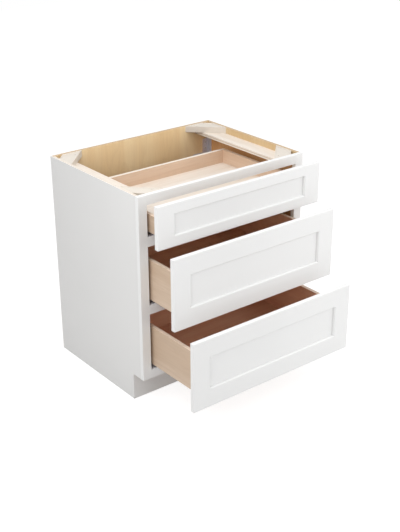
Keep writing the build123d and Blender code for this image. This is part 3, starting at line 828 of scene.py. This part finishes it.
def dress_drawer(number):
    """The painted front and the wooden box of one drawer."""
    stiles, rails, panel = (f"front_{part}_{number}" for part in ("stiles", "rails", "panel"))
    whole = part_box(stiles)
    finish(stiles, paint(f"painted_{stiles}", Z))
    finish(rails, paint(f"painted_{rails}", X))
    finish(panel, paint(f"painted_{panel}", X))
    round_edges(stiles, FRONT_EDGE, FRONT_JOINT, whole)
    round_edges(rails, FRONT_EDGE, FRONT_JOINT, whole)

    sides = [f"box_side_{side}_{number}" for side in ("left", "right")]
    ends = [f"box_{end}_{number}" for end in ("front", "back")]
    box = joined_box(*sides)
    thickness = box_size(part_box(sides[0])).x
    inset = Vector((thickness, thickness, 0))
    inside = (box[0] + inset, box[1] - inset)
    # Drawer 1's inside and bottom are lighter, painted light; those of drawers 2 and 3 are darker and
    # redder, painted shade
    if number == 1:
        inner, end_top_highlight, bottom_light_and_shade = LIT_MAPLE, PALE, PALE
    else:
        inner, end_top_highlight, bottom_light_and_shade = SHADED_MAPLE, WARM_HIGHLIGHT, SHADED_MAPLE
    # Drawer 1's darker outside is painted shade
    shade = BOX_TONE_AND_SHADE[number - 1]
    for place, board in enumerate(sides + ends):
        # Each board's top edge takes a lighter tone, a painted highlight
        grain, top = (Y, WARM_HIGHLIGHT) if board in sides else (X, end_top_highlight)
        offset = 10.0 * number + 2.3 * place
        finish(board, box_wood(board, grain, inside, shade, inner, top, offset))
        round_edges(board, BOX_EDGE, BOX_JOINT, box)
    bottom = f"box_bottom_{number}"
    finish(bottom, plywood(bottom, Z, X, bottom_light_and_shade, plies=3))


def dress_fittings():
    """The slides, brackets, clips and levers, and the screws and bumpers in detail."""
    fittings = ["slide_fixed_members", "slide_rear_brackets"]
    for number in DRAWERS:
        fittings += [f"slide_middle_members_{number}", f"slide_drawer_members_{number}"]
    for name in fittings:
        finish(name, ZINC_STEEL)
        round_edges(name, SHEET_EDGE)
    grey = plastic("grey_plastic", GREY, 0.5)
    dark = plastic("dark_grey_plastic", DARK_GREY, 0.48)
    make_screws("cabinet_screws", CABINET_SCREW_LENGTH)
    for number in DRAWERS:
        make_screws(f"front_screws_{number}", FRONT_SCREW_LENGTH)
        make_bumpers(f"bumpers_{number}")
        finish(f"locking_clips_{number}", grey)
        round_edges(f"locking_clips_{number}", CLIP_EDGE)
        finish(f"release_levers_{number}", dark)
        round_edges(f"release_levers_{number}", LEVER_EDGE)


# ----------------------------------------------------------------------------- stage


def make_floor():
    """A plain pale floor, white to the camera but for the object's soft shadow."""
    mesh = bpy.data.meshes.new("floor")
    shape = bmesh.new()
    bmesh.ops.create_grid(shape, x_segments=4, y_segments=4, size=FLOOR_REACH)
    shape.to_mesh(mesh)
    shape.free()
    floor = bpy.data.objects.new("floor", mesh)
    floor.location = (0, cad_low.y / 2, cad_low.z - FLOOR_DROP)
    bpy.context.scene.collection.objects.link(floor)
    material = bpy.data.materials.new("floor")
    material.use_nodes = True
    graph = Graph(material.node_tree)
    bounce = graph.add("ShaderNodeBsdfDiffuse")
    graph.feed(bounce.inputs["Color"], (FLOOR_BOUNCE,) * 3)
    shade = graph.add("ShaderNodeBsdfDiffuse")
    graph.feed(shade.inputs["Color"], (FLOOR_SHADE,) * 3)
    glow = graph.add("ShaderNodeEmission")
    glow.inputs["Strength"].default_value = FLOOR_GLOW
    shown = graph.add("ShaderNodeAddShader")
    graph.link(shade.outputs[0], shown.inputs[0])
    graph.link(glow.outputs[0], shown.inputs[1])
    rays = graph.add("ShaderNodeLightPath")
    seen = graph.most(*(rays.outputs[f"Is {kind} Ray"] for kind in ("Camera", "Glossy")))
    pick = graph.add("ShaderNodeMixShader")
    output = graph.add("ShaderNodeOutputMaterial")
    graph.link(seen, pick.inputs[0])
    graph.link(bounce.outputs[0], pick.inputs[1])
    graph.link(shown.outputs[0], pick.inputs[2])
    graph.link(pick.outputs[0], output.inputs[0])
    mesh.materials.append(material)


def make_world():
    """White to the camera and in reflections, and an even sky as light."""
    world = bpy.data.worlds.new("studio")
    bpy.context.scene.world = world
    world.use_nodes = True
    graph = Graph(world.node_tree)
    shown = graph.add("ShaderNodeBackground")
    graph.feed(shown.inputs["Color"], (1, 1, 1))
    shown.inputs["Strength"].default_value = 1.0
    light = graph.add("ShaderNodeBackground")
    graph.feed(light.inputs["Color"], (1, 1, 1))
    light.inputs["Strength"].default_value = SKY
    rays = graph.add("ShaderNodeLightPath")
    kinds = ("Camera", "Glossy", "Transmission")
    seen = graph.most(*(rays.outputs[f"Is {kind} Ray"] for kind in kinds))
    pick = graph.add("ShaderNodeMixShader")
    output = graph.add("ShaderNodeOutputWorld")
    graph.link(seen, pick.inputs[0])
    graph.link(light.outputs[0], pick.inputs[1])
    graph.link(shown.outputs[0], pick.inputs[2])
    graph.link(pick.outputs[0], output.inputs[0])


def make_lamp(name, azimuth, elevation, power):
    """A square soft lamp that looks at the cabinet, placed by its angles as seen from it."""
    data = bpy.data.lights.new(name, "AREA")
    data.shape = "SQUARE"
    data.size = LAMP_WIDTH
    data.energy = power
    lamp = bpy.data.objects.new(name, data)
    away = outward(math.radians(azimuth), math.radians(elevation))
    lamp.location = LAMP_TARGET + away * LAMP_DISTANCE
    lamp.rotation_euler = (-away).to_track_quat("-Z", "Y").to_euler()
    bpy.context.scene.collection.objects.link(lamp)


def outward(azimuth, elevation):
    """The direction away from the cabinet at two angles. Azimuth 0 is in front of it."""
    level = math.cos(elevation)
    return Vector((math.sin(azimuth) * level, -math.cos(azimuth) * level, math.sin(elevation)))


def make_camera():
    """The camera of the photograph."""
    back = outward(CAMERA_AZIMUTH, CAMERA_ELEVATION)
    right = Vector((math.cos(CAMERA_AZIMUTH), math.sin(CAMERA_AZIMUTH), 0))
    up = back.cross(right)
    cos_roll, sin_roll = math.cos(CAMERA_ROLL), math.sin(CAMERA_ROLL)
    turn = Matrix((right * cos_roll + up * sin_roll, up * cos_roll - right * sin_roll, back))
    data = bpy.data.cameras.new("camera")
    data.lens = CAMERA_LENS
    data.sensor_width = SENSOR
    camera = bpy.data.objects.new("camera", data)
    camera.matrix_world = Matrix.Translation(CAMERA_PLACE) @ turn.transposed().to_4x4()
    bpy.context.scene.collection.objects.link(camera)
    bpy.context.scene.camera = camera


ZINC_STEEL = metal("zinc_steel", ZINC, (1500, 40, 1500), 0.45, 0.7)
SCREW_STEEL = metal("screw_steel", SCREW, (600, 600, 600), 0.32, 1.0)
CLEAR_RUBBER = clear_rubber("clear_rubber")

dress_carcass()
for number in DRAWERS:
    dress_drawer(number)
dress_fittings()

make_floor()
make_world()
for name, settings in LAMPS.items():
    make_lamp(name, *settings)
make_camera()
bpy.context.scene.view_settings.view_transform = "Standard"
